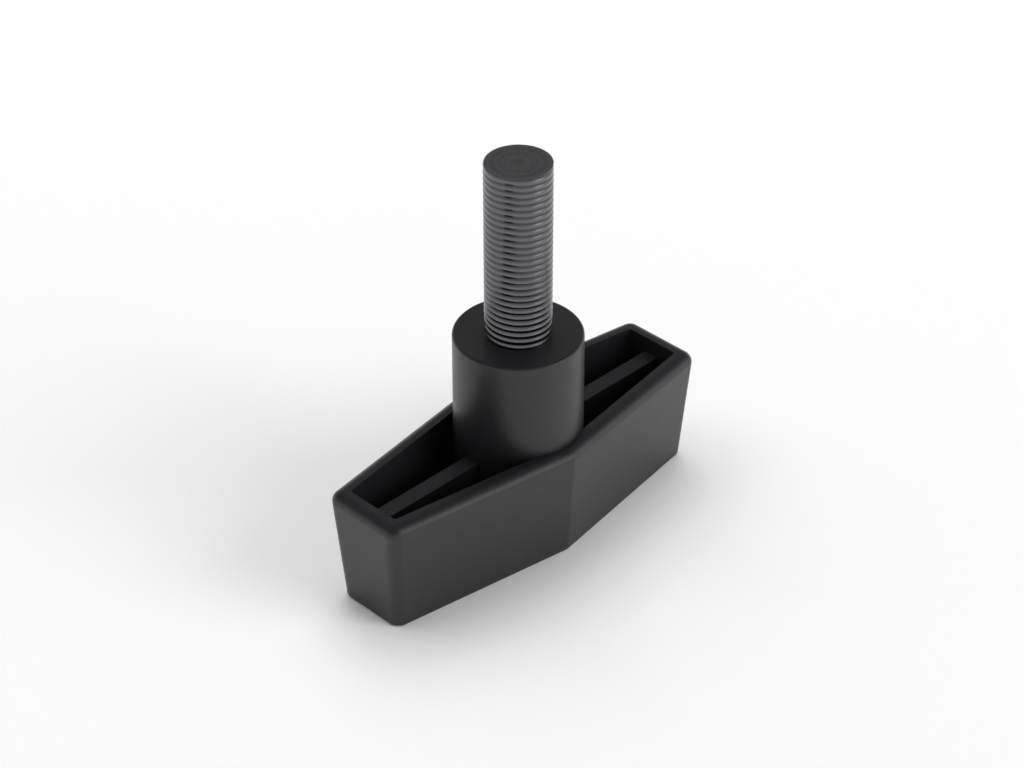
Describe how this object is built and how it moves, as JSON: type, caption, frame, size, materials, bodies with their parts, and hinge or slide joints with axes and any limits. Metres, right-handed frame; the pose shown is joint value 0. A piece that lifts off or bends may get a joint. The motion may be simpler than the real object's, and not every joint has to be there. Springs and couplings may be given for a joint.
{
  "type": "wing screw",
  "caption": "Wing screw for drum hardware: T-shaped black plastic grip, hollow on the stud's side, with a round boss and a fine-threaded steel stud.",
  "frame": {"origin": "centre of the grip's closed base, which it stands on", "axes": "+Z along the stud towards its tip, +X along the grip, +Y across it"},
  "size_m": [0.064, 0.0234, 0.0633],
  "materials": {
    "black_plastic": "fine matt moulding texture",
    "dark_steel": "dark, lightly oiled"
  },
  "bodies": {
    "root": {"grip": "black_plastic", "threaded_stud": "dark_steel"}
  },
  "joints": []
}
